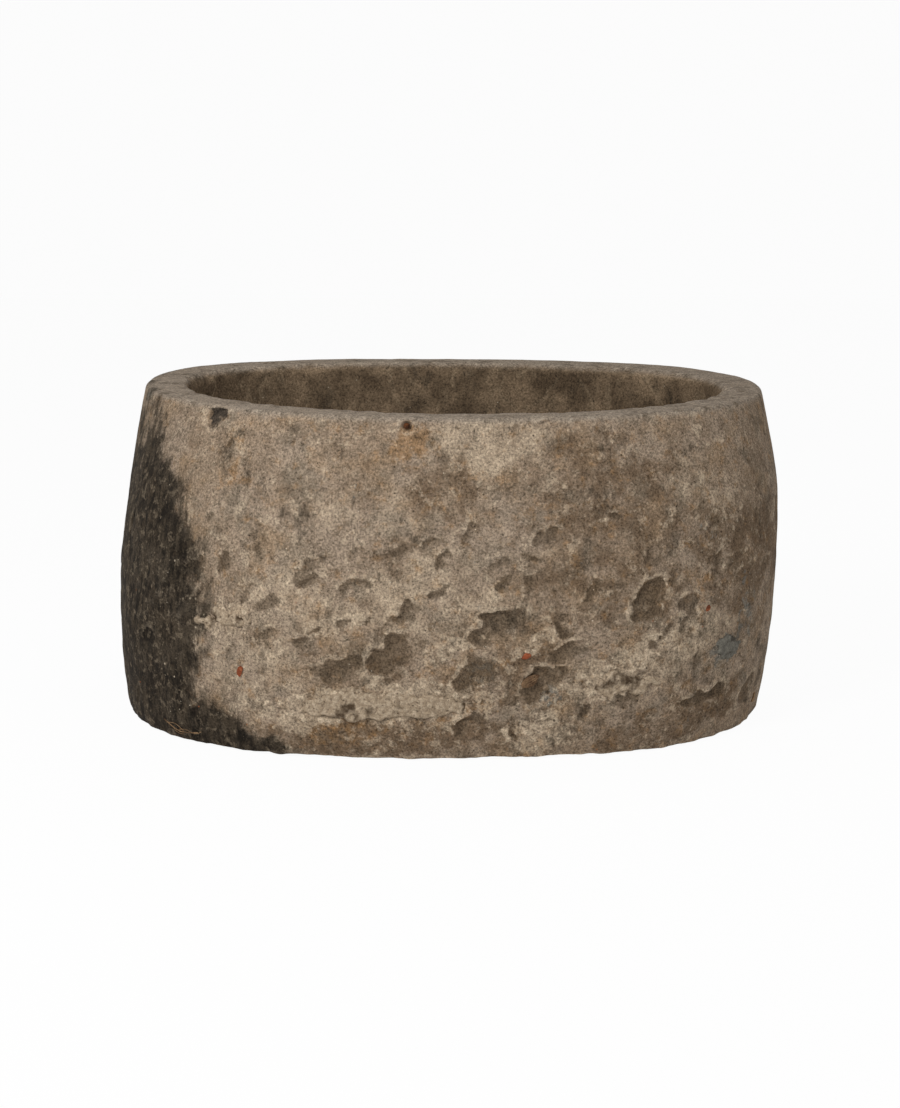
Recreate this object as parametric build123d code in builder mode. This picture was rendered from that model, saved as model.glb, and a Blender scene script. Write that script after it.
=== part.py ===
from build123d import *
from math import copysign, cos, pi, sin
import os

# A garden trough cut from one block of limestone, with what is left on it of old mortar,
# brick, cement and garden litter. All sizes are in millimetres. X runs left to right along
# the trough, Y from front to back, and Z up from the ground that it stands on.

# The block, where its sides swell widest, and its height
block_length = 900.0
block_depth = 660.0
block_height = 435.0

# How far behind the middle of its depth the trough is at its longest
longest_behind_middle = 30.0

# The height at which each side is widest
left_swell_height = 130.0
right_swell_height = 275.0
front_swell_height = 190.0
back_swell_height = 230.0

# How far each side has drawn in at the rim
rim_set_in_left = 41.0
rim_set_in_right = 23.0
rim_set_in_front = 27.0
rim_set_in_back = 27.0

# How far each side has drawn in at the ground
base_set_in_left = 9.0
base_set_in_right = 22.0
base_set_in_front = 13.0
base_set_in_back = 18.0

# The plan is an ellipse along the front of the rim, and squarer behind and at the ground
rim_front_squareness = 2.0
rim_back_squareness = 2.5
base_squareness = 2.6

# The rim is worn lower at its right end, and every edge is worn round
rim_fall = 8.0
rim_outer_round = 5.0
rim_inner_round = 7.0
ground_edge_round = 8.0

# The hollow: the walls at the rim, and how much narrower the hollow is at its floor
wall_left = 56.0
wall_right = 57.0
wall_front = 51.0
wall_back = 60.0
hollow_front_squareness = 2.0
hollow_back_squareness = 2.3
hollow_taper = 26.0
floor_thickness = 85.0
floor_corner_round = 60.0

# The drain through the middle of the floor
drain_diameter = 30.0

# The iron pin left in the front wall, a little below the rim
pin_diameter = 8.0
pin_length = 30.0
pin_sunk = 2.0
pin_place = -50.0
pin_below_rim = 14.0

# The scar where the rim's front edge is chipped
scar_from_left_end = 159.0
scar_below_rim = 8.0
scar_length = 44.0
scar_height = 40.0
scar_depth = 7.0

# What stands proud of the front face
mortar_thickness = 6.0
cement_thickness = 3.0
brick_proud = 2.5
litter_proud = 2.0
root_diameter = 3.0
root_clear_of_face = 0.3
rooted_depth = 8.0

# How finely the swollen sides are drawn, and how far a cutting tool runs past its cut
section_points = 36
side_stations = 10
overrun = 30.0

# The ends of the trough, from which what lies near them is placed
left_end = -block_length / 2
right_end = block_length / 2

# The largest marks of the pick on the front face:
# place along the trough, height, length, width, depth, and climb to the right in degrees
pick_marks = [
    (61, 172, 78, 34, 6.0, 24),
    (145, 174, 44, 26, 5.0, 50),
    (34, 120, 72, 34, 5.0, 35),
    (-71, 140, 60, 34, 5.0, 40),
    (-51, 196, 40, 18, 4.0, 45),
    (-168, 229, 44, 22, 4.0, 40),
    (left_end + 170, 244, 40, 20, 4.0, 60),
    (-5, 257, 28, 16, 3.0, 40),
    (-11, 220, 26, 14, 3.0, 40),
    (right_end - 200, 206, 60, 36, 7.0, 62),
    (right_end - 243, 306, 22, 12, 4.0, 8),
    (right_end - 120, 66, 56, 20, 4.0, -12),
]

# The outlines of the mortar and cement, seen from the front: place along, height
mortar_middle_edge = [(-212, 64), (-160, 82), (-95, 92), (-30, 86), (28, 80), (12, 66), (-60, 58), (-140, 56)]
mortar_left_edge = [
    (left_end + 136, 170),
    (left_end + 162, 190),
    (left_end + 188, 186),
    (left_end + 201, 174),
    (left_end + 182, 160),
    (left_end + 154, 158),
]
mortar_right_edge = [
    (right_end - 274, 96),
    (right_end - 245, 116),
    (right_end - 218, 108),
    (right_end - 188, 112),
    (right_end - 182, 92),
    (right_end - 214, 82),
    (right_end - 250, 80),
]
cement_edge = [
    (right_end - 115, 120),
    (right_end - 103, 134),
    (right_end - 84, 136),
    (right_end - 71, 126),
    (right_end - 80, 114),
    (right_end - 100, 112),
]

# Bits stuck on the face: name, place along, height, length, width, climb, and how far it stands proud
stuck_bits = [
    ("brick_bit_left", left_end + 190, 110, 14, 8, 70, brick_proud),
    ("brick_bit_middle", 97, 138, 8, 6, 20, brick_proud),
    ("brick_bit_right", right_end - 122, 182, 7, 6, 45, brick_proud),
    ("bark_scrap", 102, 106, 26, 15, 35, litter_proud),
    ("dry_leaf", right_end - 46, 34, 16, 9, 70, litter_proud),
]
rounded_bits = ("bark_scrap", "dry_leaf")

# Three places that the dry root passes: place along, height
root_places = [(left_end + 88, 28), (left_end + 110, 17), (left_end + 138, 20)]


def signed_power(value, power):
    return copysign(abs(value) ** power, value)


def set_in(height, swell_height, at_base, at_rim):
    """How far a side has drawn in from its widest, at a height above the ground."""
    if height < swell_height:
        return at_base * ((swell_height - height) / swell_height) ** 2
    return at_rim * ((height - swell_height) / (block_height - swell_height)) ** 1.5


def block_plan(height):
    """The block's four sides at a height, and the squareness of its front and of its back."""
    left = left_end + set_in(height, left_swell_height, base_set_in_left, rim_set_in_left)
    right = right_end - set_in(height, right_swell_height, base_set_in_right, rim_set_in_right)
    front = -block_depth / 2 + set_in(height, front_swell_height, base_set_in_front, rim_set_in_front)
    back = block_depth / 2 - set_in(height, back_swell_height, base_set_in_back, rim_set_in_back)
    near_rim = (height / block_height) ** 3
    front_squareness = base_squareness + (rim_front_squareness - base_squareness) * near_rim
    back_squareness = base_squareness + (rim_back_squareness - base_squareness) * near_rim
    return left, right, front, back, front_squareness, back_squareness


def rounded_oval(left, right, front, back, front_squareness, back_squareness):
    """Points round a plan of two half superellipses, which meet where the trough is longest."""
    points = []
    for step in range(section_points):
        turn = 2 * pi * step / section_points
        side, squareness = (back, back_squareness) if sin(turn) > 0 else (front, front_squareness)
        along = (left + right) / 2 + (right - left) / 2 * signed_power(cos(turn), 2 / squareness)
        reach = abs(sin(turn)) ** (2 / squareness)
        points.append((along, longest_behind_middle + (side - longest_behind_middle) * reach))
    return points


def swollen_block(skin=0.0):
    """The outside of the block as a solid, grown outwards by the thickness of a skin."""
    with BuildPart() as block:
        for station in range(side_stations):
            share = station / (side_stations - 1)
            left, right, front, back, *squareness = block_plan(block_height * share)
            worn_plane = Plane(
                origin=(0, 0, (block_height - rim_fall / 2) * share),
                x_dir=(block_length, 0, -rim_fall * share),
                z_dir=(rim_fall * share, 0, block_length),
            )
            with BuildSketch(worn_plane):
                with BuildLine():
                    oval = rounded_oval(left - skin, right + skin, front - skin, back + skin, *squareness)
                    Spline(*oval, periodic=True)
                make_face()
        loft()
    return block.part


def front_point(place, height):
    """The point of the front face at a place along the trough and a height."""
    rim_height = block_height - rim_fall * (place - left_end) / block_length
    left, right, front, _, squareness, _ = block_plan(block_height * height / rim_height)
    along = abs(2 * place - left - right) / (right - left)
    reach = (1 - along**squareness) ** (1 / squareness)
    return Vector(place, longest_behind_middle + (front - longest_behind_middle) * reach, height)


def front_plane(place, height, climb=0.0):
    """A plane on the front face. Its Z points out of the stone and its X climbs to the right."""
    step = 2.0
    along = front_point(place + step, height) - front_point(place - step, height)
    up = front_point(place, height + step) - front_point(place, height - step)
    out = along.cross(up).normalized()
    level = Vector(0, 0, 1).cross(out).normalized()
    climbing = level.rotate(Axis((0, 0, 0), out), climb)
    return Plane(origin=front_point(place, height), x_dir=climbing, z_dir=out)


def scoop(surface, length, width, depth):
    """The round-bottomed space that a pick leaves, lying along the surface's X."""
    tool_radius = ((width / 2) ** 2 + depth**2) / (2 * depth)
    half_straight = (length - width) / 2
    centre = surface.origin + surface.z_dir * (tool_radius - depth)
    upright = Plane(origin=centre, x_dir=surface.x_dir, z_dir=surface.x_dir.cross(surface.z_dir))
    with BuildPart() as space:
        with BuildSketch(upright):
            with BuildLine():
                CenterArc((-half_straight, 0), tool_radius, 180, 90)
                Line((-half_straight, -tool_radius), (half_straight, -tool_radius))
                CenterArc((half_straight, 0), tool_radius, 270, 90)
                Line((half_straight + tool_radius, 0), (-half_straight - tool_radius, 0))
            make_face()
        revolve(axis=Axis(centre, surface.x_dir))
    return space.part


# The hollow that was carved out of the block
rim_left, rim_right, rim_front, rim_back, _, _ = block_plan(block_height)
with BuildPart() as hollow:
    for height in (floor_thickness, block_height + overrun):
        drawn_in = hollow_taper * (block_height - height) / (block_height - floor_thickness)
        with BuildSketch(Plane.XY.offset(height)):
            with BuildLine():
                oval = rounded_oval(
                    rim_left + wall_left + drawn_in,
                    rim_right - wall_right - drawn_in,
                    rim_front + wall_front + drawn_in,
                    rim_back - wall_back - drawn_in,
                    hollow_front_squareness,
                    hollow_back_squareness,
                )
                Spline(*oval, periodic=True)
            make_face()
    loft()
    fillet(hollow.faces().sort_by(Axis.Z)[0].edges(), radius=floor_corner_round)

# The marks of the pick and the scar on the rim
scoops = [
    scoop(front_plane(place, height, climb), length, width, depth)
    for place, height, length, width, depth, climb in pick_marks
]
scar_plane = front_plane(left_end + scar_from_left_end, block_height - scar_below_rim)
scoops.append(scoop(scar_plane, scar_length, scar_height, scar_depth))

# The stone itself
block = swollen_block()
pin_plane = front_plane(pin_place, block_height - pin_below_rim)
with BuildPart() as trough_body:
    add(block)
    fillet(trough_body.faces().sort_by(Axis.Z)[0].edges(), radius=ground_edge_round)
    fillet(trough_body.faces().sort_by(Axis.Z)[-1].edges(), radius=rim_outer_round)
    add(hollow.part, mode=Mode.SUBTRACT)
    rim_edges = trough_body.faces().filter_by(GeomType.PLANE).sort_by(Axis.Z)[-1].inner_wires()[0].edges()
    fillet(rim_edges, radius=rim_inner_round)
    with BuildSketch():
        Circle(drain_diameter / 2)
    extrude(amount=floor_thickness + overrun, mode=Mode.SUBTRACT)
    add(scoops, mode=Mode.SUBTRACT)
    with BuildSketch(pin_plane):
        Circle(pin_diameter / 2)
    extrude(amount=-(pin_sunk + pin_length), mode=Mode.SUBTRACT)
trough_body.part.label = "trough_body"
export_step(trough_body.part, "parts/trough_body.step")

# The iron pin, let into the stone
with BuildPart() as iron_pin:
    with BuildSketch(pin_plane.offset(-pin_sunk)):
        Circle(pin_diameter / 2)
    extrude(amount=-pin_length)
iron_pin.part.label = "iron_pin"
export_step(iron_pin.part, "parts/iron_pin.step")


def skin_patch(edge, thickness):
    """A skin on the front face, inside an outline seen from the front."""
    skin = swollen_block(thickness)
    with BuildPart() as patch:
        with BuildSketch(Plane.XZ):
            with BuildLine():
                Spline(*edge, periodic=True)
            make_face()
        extrude(amount=block_depth / 2 + thickness + overrun)
        add(skin, mode=Mode.INTERSECT)
        add(block, mode=Mode.SUBTRACT)
    return patch.part


# The mortar and cement that still cling to the stone
for name, edge, thickness in (
    ("mortar_crust_middle", mortar_middle_edge, mortar_thickness),
    ("mortar_crust_left", mortar_left_edge, mortar_thickness),
    ("mortar_crust_right", mortar_right_edge, mortar_thickness),
    ("cement_patch", cement_edge, cement_thickness),
):
    crust = skin_patch(edge, thickness)
    crust.label = name
    export_step(crust, f"parts/{name}.step")

# The bits of red brick and the litter, each stuck on the face
for name, place, height, length, width, climb, proud in stuck_bits:
    with BuildPart() as stuck_bit:
        with BuildSketch(front_plane(place, height, climb).offset(-rooted_depth)):
            Ellipse(length / 2, width / 2) if name in rounded_bits else Rectangle(length, width)
        extrude(amount=rooted_depth + proud)
        add(trough_body.part, mode=Mode.SUBTRACT)
    stuck_bit.part.label = name
    export_step(stuck_bit.part, f"parts/{name}.step")

# The dry root that lies along the face just above the ground
with BuildPart() as dry_root:
    with BuildLine() as root_line:
        ThreePointArc(*(front_plane(*place).offset(root_clear_of_face).origin for place in root_places))
    with BuildSketch(Plane(origin=root_line.line @ 0, z_dir=root_line.line % 0)):
        Circle(root_diameter / 2)
    sweep()
    add(trough_body.part, mode=Mode.SUBTRACT)
dry_root.part.label = "dry_root"
export_step(dry_root.part, "parts/dry_root.step")
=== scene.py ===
"""A weathered limestone trough: pick-marked stone, old mortar, rust and garden litter, in a plain studio."""

from contextlib import contextmanager
from itertools import product
from math import cos, pi, radians, sin

import bpy
import numpy as np
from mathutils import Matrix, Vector


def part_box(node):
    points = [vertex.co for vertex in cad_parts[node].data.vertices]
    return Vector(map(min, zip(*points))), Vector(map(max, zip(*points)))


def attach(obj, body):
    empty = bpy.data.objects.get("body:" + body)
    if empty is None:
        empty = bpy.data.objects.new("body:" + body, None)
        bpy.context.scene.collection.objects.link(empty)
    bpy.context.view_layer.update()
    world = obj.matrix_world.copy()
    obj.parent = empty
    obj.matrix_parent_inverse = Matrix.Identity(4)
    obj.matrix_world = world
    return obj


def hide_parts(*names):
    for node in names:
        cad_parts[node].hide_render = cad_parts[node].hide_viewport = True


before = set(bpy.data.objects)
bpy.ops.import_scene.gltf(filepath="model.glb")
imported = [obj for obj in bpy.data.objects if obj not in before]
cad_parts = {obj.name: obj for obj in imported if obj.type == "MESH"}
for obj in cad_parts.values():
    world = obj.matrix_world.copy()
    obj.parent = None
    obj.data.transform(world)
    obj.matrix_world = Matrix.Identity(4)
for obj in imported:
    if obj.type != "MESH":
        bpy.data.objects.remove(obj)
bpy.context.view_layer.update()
rng = np.random.default_rng(7)

# Lists of places and sizes on the stone are in millimetres, and the scene is in metres
MM = 0.001

# The block, from the frame
stone_low, stone_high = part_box("trough_body")
left_end, right_end = stone_low.x, stone_high.x
front_side, back_side = stone_low.y, stone_high.y
block_length = right_end - left_end
block_height = stone_high.z

# Where each side swells widest, and how far it draws in above and below
swell_height = {"left": 0.130, "right": 0.275, "front": 0.190, "back": 0.230}
rim_set_in = {"left": 0.041, "right": 0.023, "front": 0.027, "back": 0.027}
base_set_in = {"left": 0.009, "right": 0.022, "front": 0.013, "back": 0.018}
longest_behind_middle = 0.030
base_squareness = 2.6
rim_front_squareness = 2.0
rim_back_squareness = 2.5
rim_fall = 0.008

# The rim, the hollow and the drain
wall = {"left": 0.056, "right": 0.057, "front": 0.051, "back": 0.060}
hollow_squareness = {"front": 2.0, "back": 2.3}
hollow_taper = 0.026
floor_height = 0.085
floor_corner_round = 0.060
rim_outer_round = 0.005
rim_inner_round = 0.007
ground_round = 0.006
drain_radius = 0.015
drain_ring_heights = (0.080, 0.055, 0.030, 0.005, 0.0)

# How far the carved surface lies inside the block, on average and at least, and how fine it is modelled
carved_in = 0.0012
inside_the_box = (0.0004, 0.0004, 0.0001)
columns = 208
fine_levels = 2
stone_triangles = 194000

# The ups and downs of each surface: how high in millimetres, over what size in metres, and a seed
ups_and_downs = {
    "waves": [(1.2, 0.19, 1), (0.9, 0.08, 2), (0.4, 0.034, 3)],
    "rough": [(1.8, 0.055, 4), (1.0, 0.026, 5), (0.45, 0.012, 6)],
    "grain": [(0.12, 0.006, 7)],
    "mark drift along": [(7.0, 0.024, 11), (6.3, 0.010, 14)],
    "mark drift up": [(7.0, 0.024, 12), (6.3, 0.010, 15)],
    "mortar": [(1.6, 0.020, 24)],
    "under a crust": [(0.5, 0.02, 25)],
    "foot": [(2.2, 0.018, 31), (1.2, 0.007, 32)],
    "rim": [(0.9, 0.06, 41), (0.5, 0.018, 42)],
    "hollow": [(2.2, 0.11, 51), (1.2, 0.04, 52), (0.6, 0.015, 53)],
    "ground": [(1.6, 0.05, 61), (0.8, 0.015, 62)],
    "crust edge": [(8.0, 0.017, 71), (4.0, 0.007, 72)],
    "crust grain": [(0.3, 0.003, 77)],
    "rust": [(0.35, 0.003, 91), (0.5, 0.006, 92)],
}

# The camera that took the photograph, and the light in the studio
photograph_height = 1108
focal_pixels = 2128
sensor_width = 36.0
camera_place = (0.0028, -2.858, 0.811)
camera_tilt = 0.2117
world_light = 0.24
paper_whiteness = 0.96
paper_size = 12.0
backdrop_height = 6.0
paper_colour = (0.86, 0.86, 0.86, 1.0)
white = (1.0, 1.0, 1.0, 1.0)
light_target = Vector((0.0, 0.0, 0.22))
studio_lights = {
    "key": ((-1.5, -2.2, 2.2), (1.0, 0.9), 60.0),
    "fill": ((1.9, -2.6, 1.1), (1.6, 1.6), 19.0),
    "top": ((0.0, 0.4, 2.6), (2.0, 1.6), 10.0),
}


# Small sums that the pieces share


def smooth(value):
    """Rises from 0 to 1 with soft ends as the value does."""
    value = np.clip(value, 0.0, 1.0)
    return value * value * (3.0 - 2.0 * value)


def cell_value(cells, seed):
    """One random value from 0 to 1 for each cell of a grid, the same on each run."""
    x, y, z = (cells[:, axis].astype(np.uint32) for axis in range(3))
    mixed = x * np.uint32(374761393) + y * np.uint32(668265263) + z * np.uint32(2246822519)
    mixed = mixed + np.uint32(seed * 40503 + 977)
    mixed = (mixed ^ (mixed >> np.uint32(15))) * np.uint32(2654435761)
    mixed = (mixed ^ (mixed >> np.uint32(13))) * np.uint32(1274126177)
    return ((mixed ^ (mixed >> np.uint32(16))) & np.uint32(0xFFFFFF)) / 0xFFFFFF


def ripple(points, size, seed):
    """Smooth random values from -1 to 1 that change over about one size."""
    scaled = points / size
    cells = np.floor(scaled).astype(np.int64)
    part = smooth(scaled - cells)
    total = np.zeros(len(points))
    for corner in product((0, 1), repeat=3):
        share = np.prod(np.where(corner, part, 1.0 - part), axis=1)
        total += share * cell_value(cells + corner, seed)
    return 2.0 * total - 1.0


def ripples(points, surface):
    """The ups and downs of a surface at each point, in millimetres."""
    return sum(high * ripple(points, size, seed) for high, size, seed in ups_and_downs[surface])


def pebble(points, size, seed):
    """How far each point is from the nearest of scattered spots, as a share of their spacing."""
    scaled = points / size
    cells = np.floor(scaled).astype(np.int64)
    nearest = np.full(len(points), 9.0)
    for step in product((-1, 0, 1), repeat=3):
        there = cells + step
        spots = there + np.stack([cell_value(there, seed + axis) for axis in range(3)], axis=1)
        nearest = np.minimum(nearest, ((spots - scaled) ** 2).sum(axis=1))
    return np.sqrt(nearest)


def set_in(height, side):
    """How far a side has drawn in from its widest at each height."""
    widest = swell_height[side]
    below = base_set_in[side] * np.clip((widest - height) / widest, 0.0, 1.0) ** 2
    above = rim_set_in[side] * np.clip((height - widest) / (block_height - widest), 0.0, 1.0) ** 1.5
    return below + above


def block_plan(height):
    """The block's four sides at each height, with the squareness of its front and of its back."""
    near_rim = (height / block_height) ** 3
    return (
        left_end + set_in(height, "left"),
        right_end - set_in(height, "right"),
        front_side + set_in(height, "front"),
        back_side - set_in(height, "back"),
        base_squareness + (rim_front_squareness - base_squareness) * near_rim,
        base_squareness + (rim_back_squareness - base_squareness) * near_rim,
    )


def hollow_plan(height):
    """The hollow's four sides at each height, with the squareness of its front and of its back."""
    left, right, front, back, _, _ = block_plan(np.full_like(height, block_height))
    drawn_in = hollow_taper * (block_height - height) / (block_height - floor_height)
    return (
        left + wall["left"] + drawn_in,
        right - wall["right"] - drawn_in,
        front + wall["front"] + drawn_in,
        back - wall["back"] - drawn_in,
        np.full_like(height, hollow_squareness["front"]),
        np.full_like(height, hollow_squareness["back"]),
    )


def oval_reach(turn, plan):
    """How far a plan reaches from its middle at each turn, and the middle's place along."""
    left, right, front, back, front_squareness, back_squareness = plan
    to_back = np.sin(turn) > 0
    half_depth = np.where(to_back, back - longest_behind_middle, longest_behind_middle - front)
    squareness = np.where(to_back, back_squareness, front_squareness)
    share = np.abs(np.cos(turn) / ((right - left) / 2)) ** squareness
    share = share + np.abs(np.sin(turn) / half_depth) ** squareness
    return share ** (-1.0 / squareness), (left + right) / 2


def worn_down(points):
    """Lowers the points as the rim is worn lower towards its right end."""
    points[:, 2] *= 1.0 - rim_fall * (points[:, 0] - left_end) / block_length / block_height
    return points


# The distance round the block from the middle of its front, for turns from the back round to the back
round_turns = np.linspace(-1.5 * pi, 0.5 * pi, 1441)
round_reach, round_middle = oval_reach(round_turns, block_plan(np.full_like(round_turns, 0.2)))
round_x = round_middle + round_reach * np.cos(round_turns)
round_y = longest_behind_middle + round_reach * np.sin(round_turns)
round_lengths = np.concatenate([[0.0], np.cumsum(np.hypot(np.diff(round_x), np.diff(round_y)))])
round_lengths -= np.interp(-pi / 2, round_turns, round_lengths)


def along_block(x, y):
    """The distance round the block, from the middle of its front, of points in plan."""
    turn = np.arctan2(y - longest_behind_middle, x - (left_end + right_end) / 2)
    turn = np.where(turn > pi / 2, turn - 2 * pi, turn)
    return np.interp(turn, round_turns, round_lengths)


def front_face(place, height):
    """How far forward the front face lies at each place along the trough and height."""
    left, right, front, _, squareness, _ = block_plan(height)
    share = np.clip(np.abs(2 * place - left - right) / (right - left), 0.0, 1.0)
    curve = (1 - share**squareness) ** (1 / squareness)
    return longest_behind_middle + (front - longest_behind_middle) * curve


def along_front(place, height):
    """The distance round the block of a place on its front, given in millimetres."""
    place, height = np.array([place * MM]), np.array([height * MM])
    return along_block(place, front_face(place, height))[0]


# What the pick, the weather and the mason left on the stone

# The largest marks of the pick on the front: place, height, length, width, depth, and climb in degrees
front_marks = [
    (66, 172, 92, 38, 6.5, 22),
    (146, 176, 36, 24, 4.5, 128),
    (150, 140, 50, 30, 4.5, 20),
    (34, 112, 74, 36, 4.5, 30),
    (-71, 141, 74, 42, 5.0, 35),
    (-51, 192, 46, 22, 4.5, 38),
    (-168, 229, 44, 20, 4.5, 42),
    (-280, 244, 36, 18, 4.0, 60),
    (-6, 256, 32, 18, 3.5, 40),
    (-12, 219, 28, 14, 3.0, 38),
    (249, 202, 62, 40, 6.0, 58),
    (206, 304, 24, 10, 4.0, 6),
    (119, 288, 36, 12, 3.0, 32),
    (112, 262, 34, 10, 2.5, 24),
    (-100, 188, 24, 9, 3.0, 45),
    (-126, 180, 26, 9, 3.0, 42),
    (-166, 170, 26, 8, 2.5, 38),
    (-183, 150, 30, 18, 3.5, 30),
    (-112, 224, 44, 24, 2.5, 20),
    (-128, 122, 70, 34, 3.0, 20),
    (-111, 68, 62, 12, 5.0, 36),
    (118, 104, 58, 40, 6.0, 40),
    (170, 64, 38, 12, 3.5, 44),
    (24, 50, 50, 24, 4.0, 36),
    (330, 64, 92, 26, 4.5, 14),
    (226, 74, 34, 22, 3.0, 30),
    (304, 170, 48, 24, 3.0, 40),
    (344, 236, 40, 20, 3.0, 60),
    (-222, 196, 34, 16, 2.5, 35),
    (-232, 268, 30, 14, 2.0, 50),
    (70, 226, 40, 20, 2.5, 35),
    (30, 290, 40, 18, 2.5, 40),
    (-60, 268, 34, 16, 2.5, 35),
    (180, 214, 40, 20, 2.5, 50),
    (60, 250, 30, 14, 2.0, 30),
]

# The lighter marks that cover the lower part all round
small_mark_count = 420
small_mark_foot = 0.035
small_mark_top = 0.315

# Where the front edge of the rim is chipped: place, height, length, width, depth, and climb
rim_scars = [
    (-292, 419, 46, 36, 6.5, 10),
    (-330, 432, 18, 8, 2.5, 60),
    (126, 428, 44, 12, 3.0, 4),
    (20, 432, 30, 8, 1.6, -4),
    (308, 424, 60, 8, 2.2, 3),
]

# The long tool lines in the hollow, and the chips along its upper edge
hollow_line_count = 300
edge_chip_count = 130


def bent_places(points):
    """The distance round the block and the height of each point, bent so that edges come out uneven."""
    along = along_block(points[:, 0], points[:, 1])
    return (
        along + MM * ripples(points, "mark drift along"),
        points[:, 2] + MM * ripples(points, "mark drift up"),
    )


def pressed_in(along, height, marks):
    """How deep marks go at each point, how far they cover it, and where their upper lips lie.

    Each has a steep lip to its upper left and runs out to the lower right."""
    depth = np.zeros(len(along))
    cover = np.zeros(len(along))
    lips = np.zeros(len(along))
    for place, level, length, width, deep, climb in marks:
        reach = max(length, width) * 0.7
        near = np.flatnonzero((np.abs(along - place) < reach) & (np.abs(height - level) < reach))
        beside, above = along[near] - place, height[near] - level
        run = (beside * cos(climb) + above * sin(climb)) / (length / 2)
        across = (above * cos(climb) - beside * sin(climb)) / (width / 2)
        within = 1.0 - np.abs(run) ** 2.4 - np.abs(across) ** 2.4
        fall = smooth(0.55 + 0.55 * across - 0.15 * run)
        depth[near] = np.maximum(depth[near], deep * smooth(within * 1.3) * fall)
        # The cover is strongest on the steep upper-left side; the material darkens it as painted shade and
        # grime
        edge = smooth(within * (1.2 + 2.2 * fall))
        cover[near] = np.maximum(cover[near], edge * (0.55 + 0.45 * fall) * min(1.0, 0.2 + deep / 0.004))
        # The lip lies just outside the steep side; the material lightens it as a painted highlight
        lip = smooth(1.0 - np.abs(within + 0.25) / 0.4) * fall
        lips[near] = np.maximum(lips[near], lip * min(1.0, deep / 0.003))
    return depth, cover, lips


def in_metres(marks):
    """A list of marks on the front, with distances round the block and in metres."""
    return [
        (along_front(place, level), level * MM, length * MM, width * MM, deep * MM, radians(climb))
        for place, level, length, width, deep, climb in marks
    ]


def scattered_marks():
    """The lighter pick marks all round the lower part, thinning out upwards."""
    marks = []
    for _ in range(small_mark_count):
        length = 0.014 + 0.046 * rng.beta(1.2, 2.4)
        level = small_mark_foot + (small_mark_top - small_mark_foot) * rng.beta(1.5, 1.5)
        marks.append(
            (
                rng.uniform(round_lengths[0], round_lengths[-1]),
                level,
                length,
                length * rng.uniform(0.28, 0.6),
                length * rng.uniform(0.02, 0.065),
                radians(rng.normal(38, 14)),
            )
        )
    return marks


def face_point(place, height):
    """The point of the front face at a place along and a height, given in millimetres."""
    place, height = np.array([place * MM]), np.array([height * MM])
    return np.array([place[0], front_face(place, height)[0], height[0]])


def face_axes(place, height, climb):
    """Three directions on the front face: along it and climbing to the right, up across it, and outwards."""
    along = face_point(place + 2, height) - face_point(place - 2, height)
    up = face_point(place, height + 2) - face_point(place, height - 2)
    out = np.cross(along, up)
    out /= np.linalg.norm(out)
    level = np.cross((0.0, 0.0, 1.0), out)
    level /= np.linalg.norm(level)
    upward = np.cross(out, level)
    climb = radians(climb)
    uphill = level * cos(climb) + upward * sin(climb)
    return np.array([uphill, upward * cos(climb) - level * sin(climb), out])


# The iron pin left in the front: its place and height, its radius and length, and how deep it has sunk
pin_place, pin_level = -50, 421
pin_radius, pin_length, pin_sunk = 4.0 * MM, 30.0 * MM, 2.0 * MM
pin_spot = face_point(pin_place, pin_level)


def chips(points, spots, sizes, depths):
    """How deep round chips go at each point."""
    depth = np.zeros(len(points))
    for spot, size, deep in zip(spots, sizes, depths):
        near = np.flatnonzero(np.abs(points - spot).max(axis=1) < size)
        away = ((points[near] - spot) ** 2).sum(axis=1) / size**2
        depth[near] = np.maximum(depth[near], deep * smooth(1.0 - away))
    return depth


# Where old mortar still clings or has left its lime: place, height, length, width, climb, strength
mortar_areas = [
    (-90, 74, 300, 52, 8, 1.0),
    (-280, 176, 90, 46, 15, 0.7),
    (-240, 66, 90, 22, 14, 0.8),
    (205, 112, 170, 60, 20, 0.9),
    (118, 38, 90, 56, 0, 1.0),
    (20, 150, 110, 20, 28, 0.9),
    (105, 150, 60, 26, 20, 0.8),
    (-150, 178, 130, 26, 10, 0.55),
    (30, 100, 90, 16, 25, 0.7),
    (255, 150, 90, 26, 20, 0.8),
    (-30, 36, 190, 26, 4, 0.4),
]

# Paler and darker areas of the front, in the same order
cream_areas = [
    (50, 402, 150, 84, 0, 1.0),
    (-40, 330, 200, 90, 20, 0.35),
    (-150, 300, 150, 90, 30, 0.3),
    (-210, 205, 160, 110, 30, 0.55),
    (-245, 110, 130, 90, 0, 0.5),
    (-60, 220, 220, 100, 30, 0.55),
    (20, 195, 150, 60, 30, 0.5),
    (330, 330, 90, 160, 80, 0.5),
    (300, 140, 170, 90, 20, 0.55),
    (290, 426, 120, 16, 0, 0.6),
    (-290, 380, 70, 120, 80, 0.35),
    (-318, 160, 18, 60, 0, 0.8),
]
brown_and_shaded_areas = [
    (200, 330, 240, 190, 0, 0.55),
    (0, 345, 90, 120, 60, 0.6),
    (190, 230, 220, 130, 20, 0.55),
    # This tall area at the right end is partly browner stone and partly painted shade, where the face turns
    # away from the light
    (400, 240, 160, 300, 80, 0.75),
    (-100, 130, 180, 60, 20, 0.5),
    (60, 110, 190, 70, 25, 0.75),
    (-75, 32, 360, 52, 3, 1.0),
    (300, 40, 260, 60, 12, 0.9),
    (110, 100, 80, 60, 40, 0.6),
    (-70, 262, 90, 50, 20, 0.35),
    (250, 205, 80, 60, 60, 0.7),
]
rust_areas = [
    (-46, 398, 70, 52, 30, 1.0),
    (-20, 404, 30, 30, 0, 0.7),
    (-265, 370, 26, 76, 0, 0.55),
    (0, 56, 90, 30, 20, 0.35),
    (320, 205, 40, 60, 0, 0.35),
    (-130, 40, 120, 30, 10, 0.35),
]
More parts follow.
